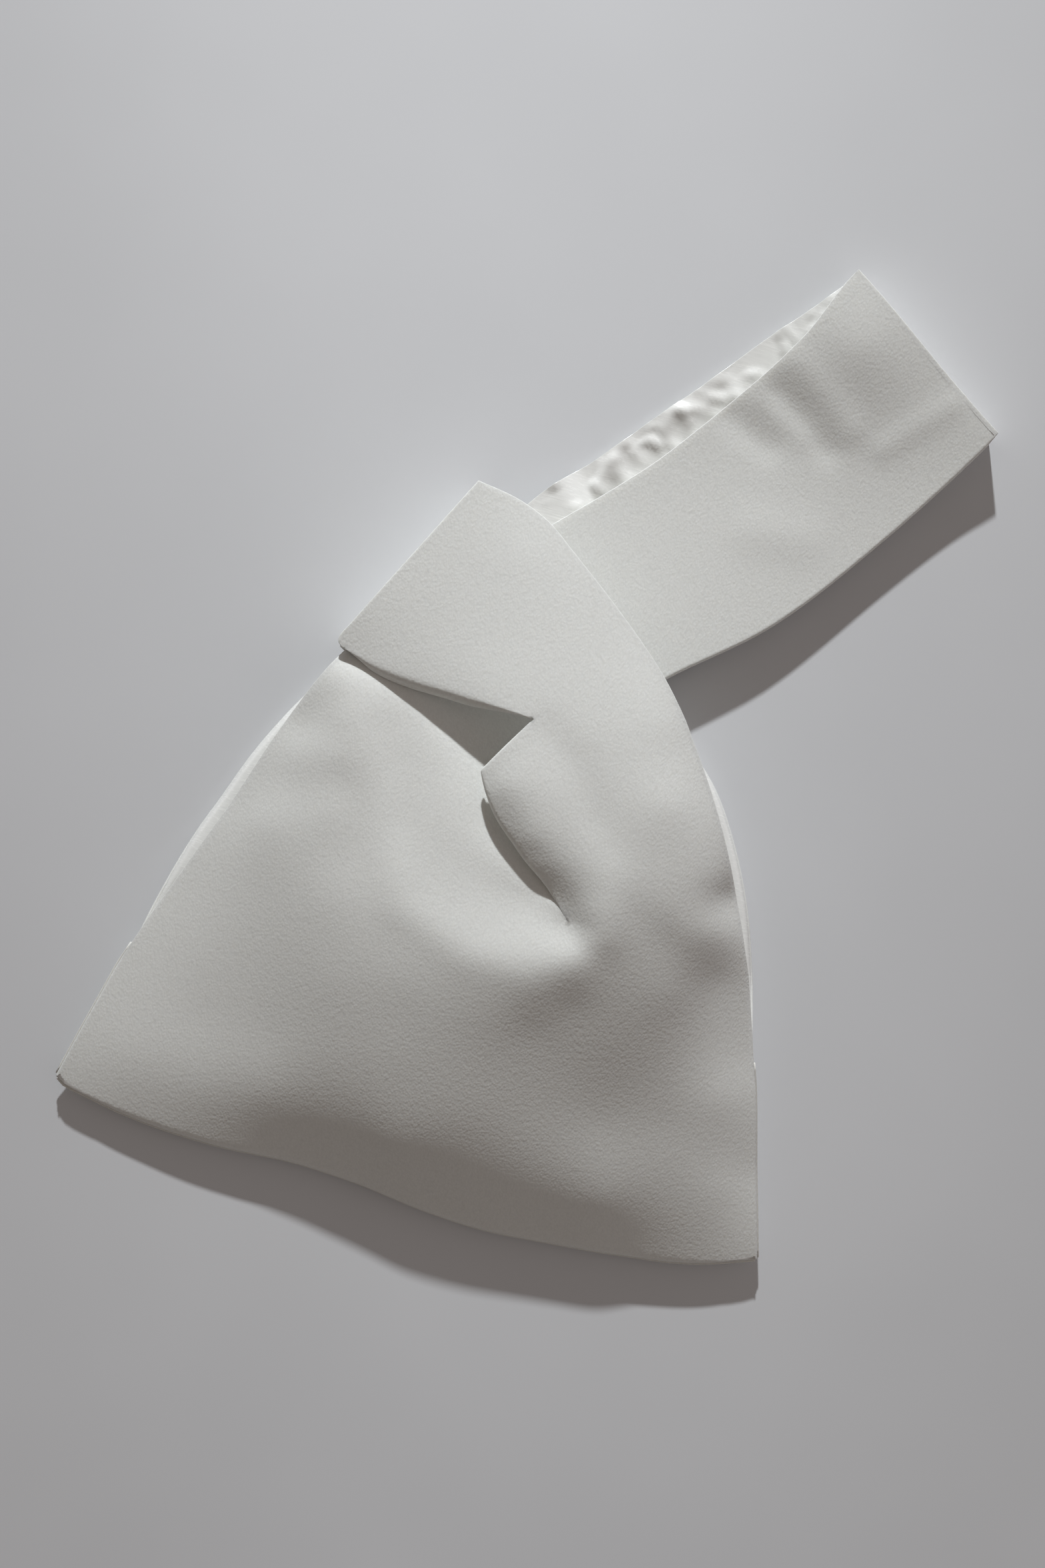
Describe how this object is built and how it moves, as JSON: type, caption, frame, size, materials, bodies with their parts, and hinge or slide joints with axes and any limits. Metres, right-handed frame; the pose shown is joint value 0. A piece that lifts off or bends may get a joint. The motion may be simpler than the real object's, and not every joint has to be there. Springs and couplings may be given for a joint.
{
  "type": "japanese knot bag",
  "caption": "Soft cloth knot bag lying flat: a puffed pouch with lined arms, the long arm drawn through the short loop to close it and end in a wrist strap.",
  "frame": {"origin": "on the flat outer face of the back panel, on the line that halves the base, 60 mm above the line between the bottom corners", "axes": "+X along the bottom seam to the right as seen from the front, +Y up the bag towards its strap, +Z out of the bag's front, up from the table it lies on"},
  "size_m": [0.2792, 0.3765, 0.0411],
  "materials": {
    "crepe": "matt pebbled weave",
    "satin_lining": "soft sheen",
    "seam_cloth": "matt"
  },
  "bodies": {
    "bag": {"front_panel": "crepe", "front_panel_lining": "satin_lining", "back_panel": "crepe", "back_panel_lining": "satin_lining", "left_arm_front": "crepe", "left_arm_front_lining": "satin_lining", "left_arm_back": "crepe", "left_arm_back_lining": "satin_lining", "loop_front": "crepe", "loop_front_lining": "satin_lining", "loop_back": "crepe", "loop_back_lining": "satin_lining", "bottom_seam": "seam_cloth", "left_side_seam": "seam_cloth", "right_side_seam": "seam_cloth", "loop_end_seam": "seam_cloth"},
    "drawn_strap": {"tail_front": "crepe", "tail_front_lining": "satin_lining", "tail_back": "crepe", "tail_back_lining": "satin_lining"},
    "wrist_loop": {"handle_front": "crepe", "handle_front_lining": "satin_lining", "handle_back": "crepe", "handle_back_lining": "satin_lining", "handle_end_seam": "seam_cloth"}
  },
  "joints": [
    {"name": "strap_slide", "type": "slide", "parent": "bag", "child": "drawn_strap", "axis": [0.6428, 0.766, 0], "range_m": [-0.015, 0.015]},
    {"name": "handle_lift", "type": "hinge", "parent": "drawn_strap", "child": "wrist_loop", "pos_m": [0.03307, 0.18515, 0.0097], "axis": [0.766, -0.6428, 0], "range_deg": [0, 90]}
  ]
}
